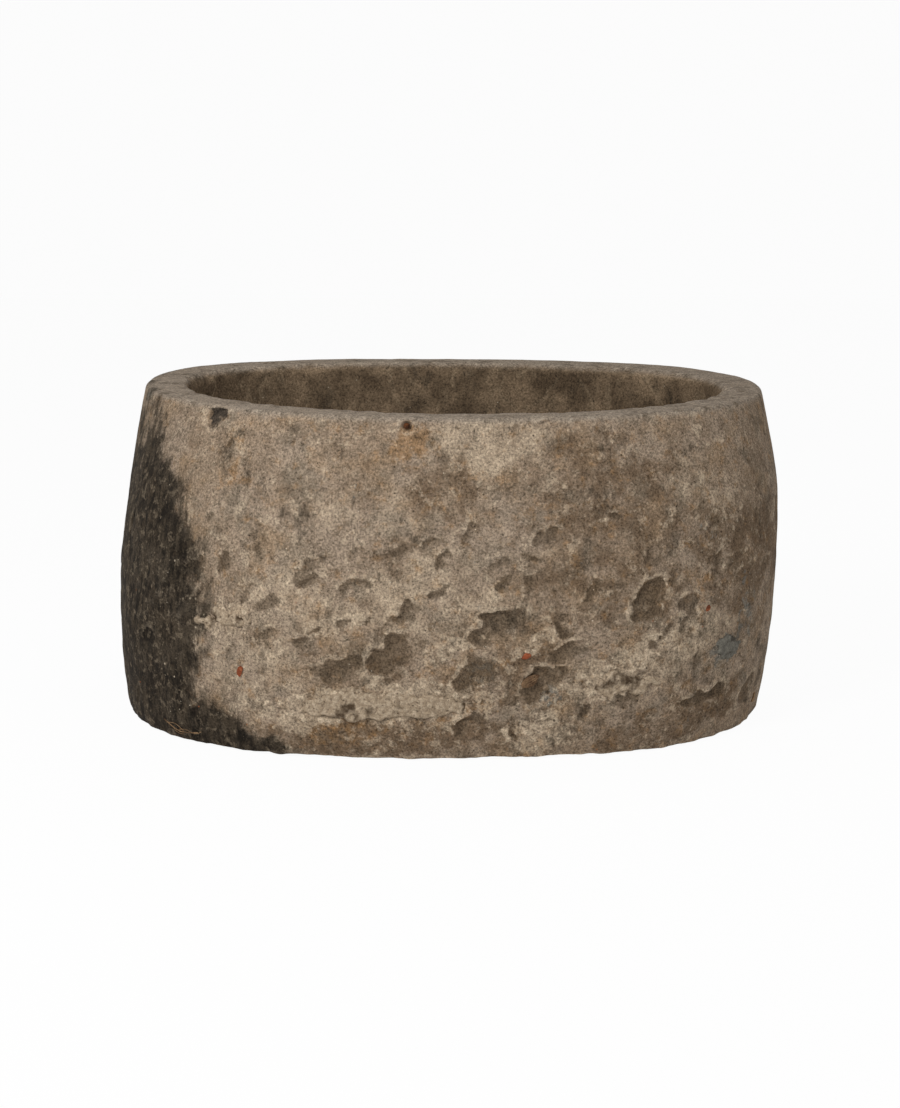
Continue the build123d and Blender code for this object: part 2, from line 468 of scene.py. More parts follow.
# The grey smears of cement, and grey bloom
grey_areas = [
    (356, 122, 60, 34, 20, 1.0),
    (385, 165, 40, 110, 0, 0.5),
    (-395, 428, 40, 30, 0, 0.6),
    (300, 430, 80, 12, 0, 0.7),
    (40, 118, 80, 36, 20, 0.4),
    (128, 88, 36, 26, 0, 0.6),
    (330, 285, 20, 30, 0, 0.5),
]
# Where small holes lie close together
pitted_areas = [
    (118, 36, 90, 60, 0, 1.0),
    (40, 118, 30, 20, 0, 0.8),
    (128, 88, 40, 30, 0, 1.0),
    (-292, 419, 40, 30, 0, 0.9),
    (-140, 62, 150, 24, 8, 0.6),
    (250, 100, 90, 30, 10, 0.5),
]
# Where white flecks cluster
flecked_areas = [
    (-348, 92, 54, 34, -20, 1.0),
    (-322, 62, 34, 26, 0, 0.9),
    (-318, 166, 22, 80, 10, 1.0),
    (-366, 196, 34, 50, 0, 0.8),
    (-340, 240, 30, 30, 0, 0.7),
    (-268, 60, 50, 26, 20, 0.9),
    (-150, 78, 260, 30, 6, 0.6),
    (40, 128, 120, 40, 20, 0.5),
    (230, 150, 120, 70, 20, 0.5),
]
# The right edge of the black stain that runs down the left end: place, height
stain_edge = [
    (-375, 440),
    (-372, 391),
    (-344, 327),
    (-325, 271),
    (-315, 229),
    (-311, 173),
    (-318, 103),
    (-305, 52),
    (-205, 16),
]
# How far round the block to the left the stain reaches, in metres
stain_back_end = -1.02

weathered_areas = {
    "mortar": mortar_areas,
    "cream": cream_areas,
    "brown": brown_and_shaded_areas,
    "rust": rust_areas,
    "grey": grey_areas,
    "pitted": pitted_areas,
    "flecked": flecked_areas,
}


def spread(along, height, areas):
    """How strongly a list of areas colours each point. Each is an oval that fades towards its edge."""
    strength = np.zeros(len(along))
    for place, level, length, width, climb, strong in areas:
        climb = radians(climb)
        beside, above = along - along_front(place, level), height - level * MM
        run = (beside * cos(climb) + above * sin(climb)) / (length * MM / 2)
        across = (above * cos(climb) - beside * sin(climb)) / (width * MM / 2)
        strength = np.maximum(strength, strong * smooth(1.45 - np.hypot(run, across)))
    return strength


def black_stain(along, height):
    """How strongly the black stain at the left end covers each point."""
    levels = np.array([level * MM for _, level in stain_edge])[::-1]
    edges = np.array([along_front(place, level) for place, level in stain_edge])[::-1]
    edge = np.interp(height, levels, edges)
    front = smooth((edge - along) / 0.085 + 0.55)
    behind = smooth((along - stain_back_end) / 0.25)
    upper = 1.0 - 0.6 * smooth((height - 0.32) / 0.10)
    return front * behind * upper


# The stone


def stone_rings():
    """The rings of the stone: under it, up the outside, over the rim, down the hollow and the drain."""
    sides = np.linspace(ground_round, block_height - rim_outer_round, 37)
    walls = np.linspace(block_height - rim_inner_round, floor_height + floor_corner_round, 19)
    rings = [("block", 0.0, ground_round, share) for share in (0.0, 0.03, 0.2, 0.45, 0.7, 0.88, 0.96, 1.0)]
    rings += [("block", ground_round * 0.3, ground_round * 0.3, 1.0)]
    rings += [("block", height, 0.0, 1.0) for height in sides]
    rings += [("block", block_height - rim_outer_round * 0.3, rim_outer_round * 0.3, 1.0)]
    rings += [("rim", block_height, 0.0, share) for share in (0.0, 0.2, 0.4, 0.6, 0.8, 1.0)]
    rings += [("hollow", block_height - rim_inner_round * 0.3, -rim_inner_round * 0.3, 1.0)]
    rings += [("hollow", height, 0.0, 1.0) for height in walls]
    for bend in np.radians((18, 36, 54, 72, 90)):
        drop = floor_corner_round * (1 - np.sin(bend))
        rings += [("hollow", floor_height + drop, floor_corner_round * (1 - np.cos(bend)), 1.0)]
    floor_shares = (0.8, 0.6, 0.4, 0.2, 0.05, 0.0)
    rings += [("hollow", floor_height, floor_corner_round, share) for share in floor_shares]
    rings += [("block", height, 0.0, 0.0) for height in drain_ring_heights]
    return rings


def ring_points(ring, turn):
    """The places of one ring's points, for their turns round the trough."""
    surface, height, inset, share = ring
    heights = np.full_like(turn, height)
    plan = hollow_plan(heights) if surface == "hollow" else block_plan(heights)
    reach, middle = oval_reach(turn, plan)
    if surface == "rim":
        inner_reach, inner_middle = oval_reach(turn, hollow_plan(heights))
        reach = (reach - rim_outer_round) * (1 - share) + (inner_reach + rim_inner_round) * share
        middle = middle * (1 - share) + inner_middle * share
        share = 1.0
    reach = drain_radius * (1 - share) + (reach - inset) * share
    x = middle * share + reach * np.cos(turn)
    y = longest_behind_middle * share + reach * np.sin(turn)
    return np.stack([x, y, heights], axis=1)


def read_points(piece):
    """The places of a piece's vertices."""
    points = np.zeros(len(piece.data.vertices) * 3)
    piece.data.vertices.foreach_get("co", points)
    return points.reshape(-1, 3)


def read_normals(piece):
    """The directions in which a piece's surface faces at its vertices."""
    normals = np.zeros(len(piece.data.vertices) * 3)
    piece.data.vertices.foreach_get("normal", normals)
    return normals.reshape(-1, 3)


def move_points(piece, points):
    """Puts a piece's vertices in new places."""
    piece.data.vertices.foreach_set("co", points.ravel())
    piece.data.update()


def paint(piece, name, values):
    """Keeps a value for each vertex, for the materials to read."""
    layer = piece.data.attributes.new(name, "FLOAT", "POINT")
    layer.data.foreach_set("value", values.astype(np.float32))


def apply_modifier(piece, name, kind, **settings):
    """Adds a modifier to the active piece and applies it."""
    modifier = piece.modifiers.new(name, kind)
    for setting, value in settings.items():
        setattr(modifier, setting, value)
    bpy.ops.object.modifier_apply(modifier=name)


def add_piece(name, add, **settings):
    """Adds a piece with an operator and names it."""
    bpy.ops.object.select_all(action="DESELECT")
    add(**settings)
    piece = bpy.context.object
    piece.name = piece.data.name = name
    return piece


@contextmanager
def editing():
    """Edits the active piece, with all of it selected at first."""
    bpy.ops.object.mode_set(mode="EDIT")
    bpy.ops.mesh.select_all(action="SELECT")
    yield
    bpy.ops.object.mode_set(mode="OBJECT")


def finish_piece(piece, slot, material, *nodes):
    """Smooths a piece, gives it its material, and lets it stand for its nodes of the frame."""
    bpy.ops.object.shade_smooth()
    piece.data.materials.append(material)
    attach(piece, "root")
    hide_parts(*nodes)


def stone_blank():
    """The trough before it is carved: rings drawn up from a circle, and each ring set to its outline."""
    rings = stone_rings()
    stone = add_piece("limestone_trough", bpy.ops.mesh.primitive_circle_add, vertices=columns, radius=1.0)
    with editing():
        for _ in rings[1:]:
            bpy.ops.mesh.extrude_region_move(TRANSFORM_OT_translate={"value": (0, 0, 1)})
    points = read_points(stone)
    even = np.arctan2(points[:, 1], points[:, 0])
    turn = even + 0.35 * np.cos(even)
    numbers = np.rint(points[:, 2]).astype(int)
    for number, ring in enumerate(rings):
        points[numbers == number] = ring_points(ring, turn[numbers == number])
    move_points(stone, worn_down(points))
    with editing():
        bpy.ops.mesh.remove_doubles(threshold=0.00001)
        bpy.ops.mesh.normals_make_consistent(inside=False)
    apply_modifier(stone, "rounding", "SUBSURF", levels=fine_levels, render_levels=fine_levels)
    return stone


def regions(points, normals):
    """How far each point belongs to the outside of the block, to its rim and to its hollow."""
    turn = np.arctan2(points[:, 1] - longest_behind_middle, points[:, 0] - (left_end + right_end) / 2)
    reach, middle = oval_reach(turn, block_plan(points[:, 2]))
    inside = reach - np.hypot(points[:, 0] - middle, points[:, 1] - longest_behind_middle)
    rim_height = block_height - rim_fall * (points[:, 0] - left_end) / block_length
    outside = smooth(1.6 - inside / 0.010) * smooth(normals[:, 2] + 1.4)
    hollow = smooth((inside - 0.030) / 0.010) * smooth((points[:, 2] - 0.084) / 0.004)
    rim = smooth((points[:, 2] - rim_height + 0.010) / 0.008) * (1 - smooth(normals[:, 2] * -5))
    return outside, rim, hollow * (1 - rim)


def carve(stone):
    """Works the surface: waves, pick marks, the rough foot, the chipped rim and the hollow."""
    points, normals = read_points(stone), read_normals(stone)
    outside, rim, hollow = regions(points, normals)
    height = points[:, 2]
    along, level = bent_places(points)
    lower = smooth((0.31 - height) / 0.12)
    grain = ripples(points, "grain")
    rough = ripples(points, "rough") * (0.15 + 0.85 * lower)
    stone_in = carved_in - MM * (ripples(points, "waves") + rough + grain)
    stone_in += 0.8 * pressed_in(along, level, in_metres(front_marks))[0]
    stone_in += pressed_in(along, level, small_marks)[0]
    stone_in += pressed_in(along, level, in_metres(rim_scars))[0]
    stone_in += chips(points, [pin_spot], [0.010], [0.005])
    mortar = smooth(1.6 * spread(along, level, mortar_areas) - 0.35)
    stone_in -= mortar * MM * (1.8 - 3.6 * pebble(points, 0.009, 21) + ripples(points, "mortar"))
    for outline in crust_edges.values():
        under = smooth(edge_distance(points[:, 0] / MM, height / MM, outline) / 5 + 0.6)
        under *= points[:, 1] < 0
        stone_in = stone_in * (1 - under) + under * MM * (1.5 + ripples(points, "under a crust"))
    foot = smooth((0.028 - height) / 0.028)
    stone_in += foot * MM * (2.2 + ripples(points, "foot"))

    rim_in = MM * (0.7 + ripples(points, "rim") + grain)
    turns = rng.uniform(-pi, pi, edge_chip_count)
    reach, middle = oval_reach(turns, hollow_plan(np.full_like(turns, block_height)))
    spots = np.stack(
        [
            middle + reach * np.cos(turns),
            longest_behind_middle + reach * np.sin(turns),
            np.full_like(turns, block_height - rim_fall / 2),
        ],
        axis=1,
    )
    sizes = rng.uniform(0.006, 0.016, edge_chip_count)
    inner_chips = chips(points, spots, sizes, sizes * rng.uniform(0.15, 0.35, edge_chip_count))

    hollow_in = MM * (ripples(points, "hollow") + grain) + pressed_in(along, level, hollow_lines)[0]

    sunk = outside * stone_in + (1 - outside) * (rim * rim_in + hollow * hollow_in) + inner_chips
    points -= normals * sunk[:, None]
    ground = smooth(-normals[:, 2] * 4) * smooth((0.006 - height) / 0.004)
    points[:, 2] += ground * MM * np.clip(1.1 + ripples(points, "ground"), 0, 4)
    lowest, highest = np.array(stone_low) + inside_the_box, np.array(stone_high) - inside_the_box
    move_points(stone, np.clip(points, lowest, highest))


def scattered_lines():
    """The slanting tool lines on the walls of the hollow."""
    lines = []
    for _ in range(hollow_line_count):
        length = rng.uniform(0.025, 0.090)
        lines.append(
            (
                rng.uniform(round_lengths[0], round_lengths[-1]),
                rng.uniform(0.10, block_height),
                length,
                rng.uniform(0.006, 0.013),
                rng.uniform(0.0006, 0.0016),
                radians(rng.choice([-1, 1], p=[0.75, 0.25]) * rng.normal(48, 12)),
            )
        )
    return lines


def sunk_below(piece, rounds):
    """How far each vertex lies below the average of the surface round it, in millimetres."""
    points, normals = read_points(piece), read_normals(piece)
    ends = np.zeros(len(piece.data.edges) * 2, np.int32)
    piece.data.edges.foreach_get("vertices", ends)
    first, second = ends.reshape(-1, 2).T
    count = np.bincount(np.concatenate([first, second]), minlength=len(points))
    average = points.copy()
    for _ in range(rounds):
        total = np.zeros_like(points)
        for here, there in ((first, second), (second, first)):
            for axis in range(3):
                total[:, axis] += np.bincount(here, average[there, axis], len(points))
        average = 0.3 * average + 0.7 * total / count[:, None]
    return ((average - points) * normals).sum(axis=1) / MM


# Drawn once, since the carving and the painting both use them
small_marks = scattered_marks()
hollow_lines = scattered_lines()


def paint_stone(stone):
    """Keeps where each weathering of the stone lies, and the sunk places and mark lips on which the material
    paints shade and highlights.
    """
    points, normals = read_points(stone), read_normals(stone)
    # How far the surface sinks, finely and broadly, for the painted shade in hollows and dips and the painted
    # highlight on ridges
    paint(stone, "sunk", sunk_below(stone, 4))
    paint(stone, "deep", sunk_below(stone, 40))
    outside, rim, hollow = regions(points, normals)
    along, height = bent_places(points)
    large = pressed_in(along, height, in_metres(front_marks))
    small = pressed_in(along, height, small_marks)
    # Where the pick marks lie, which the material darkens as painted shade and grime
    marks = np.maximum(large[1], small[1])
    # Just outside their steep sides, which the material lightens as a painted highlight
    lips = np.maximum(large[2], small[2]) * (1 - marks)
    paint(stone, "scratch", hollow * pressed_in(along, height, hollow_lines)[1])
    paint(stone, "rim", rim)
    paint(stone, "hollow", hollow)
    paint(stone, "stain", outside * black_stain(along, height))
    paint(stone, "mark", outside * marks)
    paint(stone, "lip", outside * lips)
    paint(stone, "low", outside * smooth((0.26 - points[:, 2]) / 0.16))
    for name, areas in weathered_areas.items():
        paint(stone, name, outside * spread(along, height, areas))
    paint(stone, "scar", outside * (1 - rim) * pressed_in(along, height, in_metres(rim_scars[:1]))[1])


def make_stone(material):
    """The carved and weathered stone."""
    stone = stone_blank()
    carve(stone)
    triangles = 2 * len(stone.data.polygons)
    if triangles > stone_triangles:
        apply_modifier(stone, "thinning", "DECIMATE", ratio=stone_triangles / triangles)
    paint_stone(stone)
    finish_piece(stone, "limestone", material, "trough_body")


# Materials


def colour(red, green, blue):
    """A colour as it is seen, from 0 to 255, in the linear values that shaders take."""
    return (*(((share / 255 + 0.055) / 1.055) ** 2.4 for share in (red, green, blue)), 1.0)


def add_node(tree, kind, inputs=None, **settings):
    """Adds a shader node, with its settings and with values or links for its inputs."""
    node = tree.nodes.new("ShaderNode" + kind)
    for setting, value in settings.items():
        setattr(node, setting, value)
    for socket, value in (inputs or {}).items():
        if isinstance(value, bpy.types.NodeSocket):
            tree.links.new(value, node.inputs[socket])
        else:
            node.inputs[socket].default_value = value
    return node


def sum_of(tree, operation, first, second, clamp=False):
    """One sum on two values."""
    return add_node(tree, "Math", {0: first, 1: second}, operation=operation, use_clamp=clamp).outputs[0]


def times(tree, first, second):
    """One value times another."""
    return sum_of(tree, "MULTIPLY", first, second)


def blend_colours(tree, mask, first, second):
    """The first colour with the second laid over it as the mask says."""
    node = add_node(tree, "Mix", {0: mask, 6: first, 7: second}, data_type="RGBA")
    return node.outputs[2]


def rising(tree, value, low, high):
    """A mask that rises softly from 0 to 1 as a value goes from low to high."""
    sockets = {0: value, 1: low, 2: high}
    return add_node(tree, "MapRange", sockets, interpolation_type="SMOOTHSTEP").outputs[0]


def start_group(name, inputs, outputs):
    """A new group with its named sockets. Returns the group, its inputs and its output node."""
    group = bpy.data.node_groups.new(name, "ShaderNodeTree")
    for socket, default in inputs.items():
        kind = "NodeSocketColor" if isinstance(default, tuple) else "NodeSocketFloat"
        group.interface.new_socket(socket, in_out="INPUT", socket_type=kind).default_value = default
    for socket, kind in outputs.items():
        group.interface.new_socket(socket, in_out="OUTPUT", socket_type="NodeSocket" + kind)
    return group, group.nodes.new("NodeGroupInput").outputs, group.nodes.new("NodeGroupOutput")


def use_group(tree, name, **inputs):
    """Places a group in a material and returns its outputs."""
    return add_node(tree, "Group", inputs, node_tree=groups[name]).outputs


def shifted_place(group, given):
    """The place of each point on its piece, shifted so that two uses of a group differ."""
    place = add_node(group, "TexCoord").outputs["Object"]
    return add_node(group, "VectorMath", {0: place, 1: given["Shift"]}, operation="ADD").outputs[0]


def build_blotches():
    """Soft blotches of one size, which may be drawn out up and down."""
    inputs = {"Size": 0.05, "Tall": 1.0, "Detail": 4.0, "Rough": 0.55, "Shift": 0.0, "Low": 0.4, "High": 0.6}
    group, given, result = start_group("blotches", inputs, {"Mask": "Float"})
    place = add_node(group, "TexCoord").outputs["Object"]
    flat = add_node(group, "CombineXYZ", {0: 1.0, 1: 1.0, 2: sum_of(group, "DIVIDE", 1.0, given["Tall"])})
    drawn = add_node(group, "VectorMath", {0: place, 1: flat.outputs[0]}, operation="MULTIPLY").outputs[0]
    moved = add_node(group, "VectorMath", {0: drawn, 1: given["Shift"]}, operation="ADD").outputs[0]
    scale = sum_of(group, "DIVIDE", 1.0, given["Size"])
    sockets = {"Vector": moved, "Scale": scale, "Detail": given["Detail"], "Roughness": given["Rough"]}
    noise = add_node(group, "TexNoise", sockets)
    group.links.new(rising(group, noise.outputs[0], given["Low"], given["High"]), result.inputs["Mask"])
    return group


def build_ragged():
    """An area with its edge broken up by noise."""
    inputs = {"Area": 0.0, "Size": 0.01, "Ragged": 0.5, "Soft": 0.12, "Shift": 0.0}
    group, given, result = start_group("ragged area", inputs, {"Mask": "Float"})
    moved = shifted_place(group, given)
    scale = sum_of(group, "DIVIDE", 1.0, given["Size"])
    noise = add_node(group, "TexNoise", {"Vector": moved, "Scale": scale, "Detail": 5.0, "Roughness": 0.65})
    swing = times(group, sum_of(group, "SUBTRACT", noise.outputs[0], 0.5), given["Ragged"])
    total = sum_of(group, "ADD", given["Area"], times(group, swing, 4.0))
    low = sum_of(group, "SUBTRACT", 0.5, given["Soft"])
    high = sum_of(group, "ADD", 0.5, given["Soft"])
    group.links.new(rising(group, total, low, high), result.inputs["Mask"])
    return group


def build_specks():
    """Scattered specks or pores of one size. Share says how many of the places have one."""
    inputs = {"Size": 0.004, "Share": 0.3, "Width": 0.3, "Shift": 0.0}
    group, given, result = start_group("specks", inputs, {"Mask": "Float"})
    moved = shifted_place(group, given)
    ripple_noise = add_node(group, "TexNoise", {"Vector": moved, "Scale": 260.0, "Detail": 2.0})
    bent = add_node(group, "VectorMath", {0: ripple_noise.outputs[1], 1: (0.0025,) * 3}, operation="MULTIPLY")
    moved = add_node(group, "VectorMath", {0: moved, 1: bent.outputs[0]}, operation="ADD").outputs[0]
    scale = sum_of(group, "DIVIDE", 1.0, given["Size"])
    cells = add_node(group, "TexVoronoi", {"Vector": moved, "Scale": scale}, feature="F1")
    chosen = add_node(group, "SeparateColor", {0: cells.outputs["Color"]}).outputs[0]
    picked = sum_of(group, "LESS_THAN", chosen, given["Share"])
    half_width = times(group, given["Width"], 0.5)
    near = rising(group, cells.outputs["Distance"], given["Width"], half_width)
    group.links.new(times(group, picked, near), result.inputs["Mask"])
    return group


def build_grain():
    """Fine light and dark grain laid over a colour, with a height for the bump."""
    inputs = {"Colour": (0.5, 0.5, 0.5, 1.0), "Size": 0.0025, "Strength": 0.35, "Rough": 0.8}
    group, given, result = start_group("stone grain", inputs, {"Colour": "Color", "Height": "Float"})
    place = add_node(group, "TexCoord").outputs["Object"]
    scale = sum_of(group, "DIVIDE", 1.0, given["Size"])
    sockets = {"Vector": place, "Scale": scale, "Detail": 3.0, "Roughness": given["Rough"]}
    fine = add_node(group, "TexNoise", sockets)
    coarse_scale = times(group, scale, 0.28)
    sockets = {"Vector": place, "Scale": coarse_scale, "Detail": 3.0, "Roughness": 0.7}
    coarse = add_node(group, "TexNoise", sockets)
    softer = times(group, coarse.outputs[0], 0.2)
    both = sum_of(group, "ADD", fine.outputs[0], softer)
    swing = sum_of(group, "SUBTRACT", both, 0.6)
    factor = times(group, swing, times(group, given["Strength"], 6.0))
    brightness = sum_of(group, "MAXIMUM", sum_of(group, "ADD", factor, 1.0), 0.25)
    lit = add_node(group, "VectorMath", {0: given["Colour"], "Scale": brightness}, operation="SCALE")
    group.links.new(lit.outputs[0], result.inputs["Colour"])
    group.links.new(both, result.inputs["Height"])
    return group


def painted(tree, name):
    """A value that the stone's vertices keep."""
    return add_node(tree, "Attribute", attribute_name=name, attribute_type="GEOMETRY").outputs["Fac"]


def start_material(name, roughness):
    """A new material with its shader."""
    material = bpy.data.materials.new(name)
    material.use_nodes = True
    tree = material.node_tree
    shader = tree.nodes["Principled BSDF"]
    shader.inputs["Roughness"].default_value = roughness
    shader.inputs["Specular IOR Level"].default_value = 0.08
    return material, tree, shader


def bump(tree, shader, height, distance, strength=1.0):
    """Gives a shader its fine relief."""
    fine = add_node(tree, "Bump", {"Height": height, "Distance": distance, "Strength": strength})
    tree.links.new(fine.outputs[0], shader.inputs["Normal"])


groups = {
    "blotches": build_blotches(),
    "ragged": build_ragged(),
    "specks": build_specks(),
    "grain": build_grain(),
}


def blotches(tree, **inputs):
    """A mask of soft blotches."""
    return use_group(tree, "blotches", **inputs)["Mask"]


def ragged(tree, area, **inputs):
    """A mask of an area with a broken edge."""
    return use_group(tree, "ragged", Area=area, **inputs)["Mask"]


def specks(tree, **inputs):
    """A mask of scattered specks."""
    return use_group(tree, "specks", **inputs)["Mask"]


def layered(tree, base, layers):
    """A colour with layers laid over it in turn: each a mask, a tone, and how well it covers."""
    for mask, tone, strength in layers:
        tone = colour(*tone) if isinstance(tone, tuple) else tone
        base = blend_colours(tree, times(tree, mask, strength), base, tone)
    return base


def two_toned(tree, mask, first, second):
    """Two tones, mixed as a mask says."""
    return blend_colours(tree, mask, colour(*first), colour(*second))


def limestone_material():
    """Grey-brown limestone with lime, grime, rust, a black stain and a dark hollow. The hollow's darkness is
    partly painted shade; hollows, dips, marks and pores take painted shade, and ridges and mark lips take
    painted highlights.
    """
    material, tree, shader = start_material("weathered limestone", 0.9)

    def area(name, **edge):
        return ragged(tree, painted(tree, name), **edge)

    # Painted shade: the stone is darkened where its surface sinks into small hollows
    painted_shade_in_hollows = rising(tree, painted(tree, "sunk"), 0.12, 1.1)
    # Painted shade: the stone is darkened in the broad dips of its surface
    painted_shade_in_dips = rising(tree, painted(tree, "deep"), 0.3, 2.6)
    # Painted highlight: the stone is lightened on small ridges, which also hold more lime
    on_ridges = rising(tree, painted(tree, "sunk"), -0.15, -0.9)
    low_down = painted(tree, "low")
    mottles = blotches(tree, Size=0.024, Detail=7.0, Rough=0.6, Shift=7.0, Low=0.5, High=0.7)
    ochre_patches = blotches(tree, Size=0.05, Shift=3.0, Low=0.48, High=0.7)
    grey_patches = blotches(tree, Size=0.035, Detail=6.0, Shift=5.0, Low=0.5, High=0.66)
    # Pick marks, painted darker as shade and grime, most under their steep upper-left side
    marks = area("mark", Size=0.018, Ragged=0.7, Soft=0.35, Shift=12.0)
    unmarked = sum_of(tree, "SUBTRACT", 1.0, marks)
    lime = area("mortar", Size=0.02, Ragged=1.1, Soft=0.2, Shift=8.0)
    lime = sum_of(tree, "MULTIPLY", lime, sum_of(tree, "ADD", on_ridges, 0.5), clamp=True)
    # Painted highlight along the lips of the pick marks
    painted_highlight_on_lips = area("lip", Size=0.010, Ragged=0.9, Soft=0.3, Shift=17.0)
    wide_blotches = blotches(tree, Size=0.09, Low=0.38, High=0.62)
    stone = two_toned(tree, wide_blotches, (138, 120, 101), (150, 133, 115))
    face_layers = [
        (ochre_patches, (146, 120, 90), 0.45),
        (grey_patches, (116, 105, 90), 0.6),
        (mottles, (96, 80, 64), 0.52),
        (times(tree, mottles, low_down), (90, 74, 58), 0.4),
        (area("cream", Size=0.03, Ragged=0.6, Soft=0.35), (172, 154, 132), 0.9),
        # Browner stone, and at the right end painted shade as well
        (area("brown", Size=0.03, Ragged=0.7, Soft=0.4, Shift=2.0), (100, 82, 64), 0.85),
        (area("rust", Size=0.016, Ragged=0.9, Soft=0.4, Shift=4.0), (142, 107, 68), 0.6),
        (area("grey", Size=0.012, Ragged=0.6, Soft=0.15, Shift=6.0), (106, 106, 100), 0.7),
        # Painted shade in the broad dips
        (painted_shade_in_dips, (100, 84, 67), 0.5),
        # Painted shade and grime in the pick marks
        (marks, (86, 73, 58), 0.68),
        (times(tree, lime, unmarked), (188, 170, 146), 0.9),
        # Painted highlight on the mark lips
        (times(tree, painted_highlight_on_lips, unmarked), (186, 168, 144), 0.5),
        # Painted shade in the small hollows
        (painted_shade_in_hollows, (76, 63, 50), 0.5),
        # Painted highlight on the small ridges
        (times(tree, on_ridges, unmarked), (188, 170, 147), 0.45),
    ]
    stone = layered(tree, stone, face_layers)

    rim = two_toned(tree, mottles, (142, 130, 116), (104, 93, 80))
    worn = blotches(tree, Size=0.009, Detail=5.0, Shift=25.0, Low=0.56, High=0.66)
    rim = layered(tree, rim, [(worn, (168, 156, 140), 0.7)])
    # The hollow's walls are dark partly as stain and partly as painted shade inside the trough
    cloudy = blotches(tree, Size=0.05, Shift=9.0, Low=0.3, High=0.72)
    hollow = two_toned(tree, cloudy, (82, 68, 53), (130, 111, 89))
    # Pale tool scratches, then painted shade in the small hollows of the walls
    hollow_layers = [(painted(tree, "scratch"), (156, 137, 112), 0.55), (painted_shade_in_hollows, (52, 43, 34), 0.6)]
    hollow = layered(tree, hollow, hollow_layers)

    streaks = blotches(tree, Size=0.012, Tall=3.0, Detail=6.0, Rough=0.75, Shift=1.0, Low=0.42, High=0.6)
    thin = blotches(tree, Size=0.05, Shift=13.0, Low=0.5, High=0.75)
    scratched = blotches(tree, Size=0.011, Detail=6.0, Rough=0.7, Shift=19.0, Low=0.53, High=0.62)
    soot = two_toned(tree, streaks, (13, 11, 9), (62, 54, 44))
    soot_layers = [
        (thin, (72, 64, 54), 0.5),
        (scratched, (112, 100, 84), 0.6),
        # Painted highlight on the small ridges within the stain
        (on_ridges, (130, 118, 102), 0.3),
    ]
    soot = layered(tree, soot, soot_layers)
    uneven = times(tree, sum_of(tree, "SUBTRACT", streaks, 0.5), 0.35)
    stained = sum_of(tree, "ADD", painted(tree, "stain"), uneven)
    stained = ragged(tree, sum_of(tree, "ADD", stained, 0.12), Size=0.045, Ragged=0.5, Soft=0.35, Shift=11.0)

    flecks = specks(tree, Size=0.0055, Share=0.4, Width=0.34, Shift=2.0)
    grouped = blotches(tree, Size=0.014, Detail=2.0, Shift=15.0, Low=0.5, High=0.58)
    crumbs = specks(tree, Size=0.013, Share=0.3, Width=0.07, Shift=21.0)
    brick_dust = specks(tree, Size=0.022, Share=0.25, Width=0.08, Shift=23.0)
    # Dark pores and pits: painted shade in small holes, which the bump also sinks
    pores = specks(tree, Size=0.012, Share=0.2, Width=0.12, Shift=4.0)
    pits = specks(tree, Size=0.010, Share=0.5, Width=0.26, Shift=6.0)
    pores = sum_of(tree, "MAXIMUM", pores, times(tree, pits, painted(tree, "pitted")))
    top_layers = [
        (painted(tree, "rim"), rim, 0.8),
        (painted(tree, "hollow"), hollow, 1.0),
        (stained, soot, 0.95),
        (times(tree, times(tree, flecks, painted(tree, "flecked")), grouped), (196, 180, 156), 0.85),
        (area("scar", Size=0.008, Ragged=0.5, Soft=0.25), (52, 47, 42), 0.9),
        (crumbs, (208, 194, 172), 0.8),
        (times(tree, brick_dust, low_down), (150, 88, 56), 0.85),
        # Painted shade in the pores and pits
        (pores, (48, 40, 32), 0.8),
    ]
    stone = layered(tree, stone, top_layers)
    grain = use_group(tree, "grain", Colour=stone, Size=0.0028, Strength=0.6)
    tree.links.new(grain["Colour"], shader.inputs["Base Color"])
    bump(tree, shader, sum_of(tree, "SUBTRACT", grain["Height"], pores), 0.0012, 0.7)
    return material


# What clings to the stone


# The outlines of the mortar and cement, seen from the front: place along, height
crust_edges = {
    "mortar_crust_middle": [
        (-212, 64),
        (-160, 82),
        (-95, 92),
        (-30, 86),
        (28, 80),
        (12, 66),
        (-60, 58),
        (-140, 56),
    ],
    "mortar_crust_left": [(-314, 170), (-288, 190), (-262, 186), (-249, 174), (-268, 160), (-296, 158)],
    "mortar_crust_right": [(176, 96), (205, 116), (232, 108), (262, 112), (268, 92), (236, 82), (200, 80)],
    "cement_patch": [(335, 120), (347, 134), (366, 136), (379, 126), (370, 114), (350, 112)],
}
# For each: how far it stands proud, how lumpy it is, and how far it wears through, all in millimetres
crust_relief = {
    "mortar_crust_middle": (2.4, 2.6, 2.0),
    "mortar_crust_left": (1.8, 2.2, 1.8),
    "mortar_crust_right": (2.2, 2.6, 2.0),
    "cement_patch": (1.8, 0.9, 1.4),
}
crust_step = 1.5
crust_behind = 7.0

# Bits stuck on the face: place, height, length, width, climb, how far it stands proud, how angular it is
bits = {
    "brick_bit_left": (-260, 110, 17, 8, 70, 1.6, 0.30),
    "brick_bit_middle": (97, 138, 11, 7, 20, 1.5, 0.30),
    "brick_bit_right": (328, 182, 9, 6, 45, 1.4, 0.30),
    "bark_scrap": (102, 106, 27, 13, 35, 2.0, 0.22),
    "dry_leaf": (404, 34, 15, 9, 70, 1.6, 0.18),
}
bit_behind = 3.0

# The strands of the dry root: places and heights that each passes, and its thickness
root_strands = [
    ([(-366, 26), (-350, 16), (-335, 14), (-318, 19)], 1.5),
    ([(-362, 22), (-352, 26), (-342, 20), (-336, 15)], 0.9),
    ([(-345, 17), (-334, 21), (-322, 14), (-313, 21)], 1.0),
    ([(-352, 17), (-348, 11), (-338, 12)], 0.8),
]


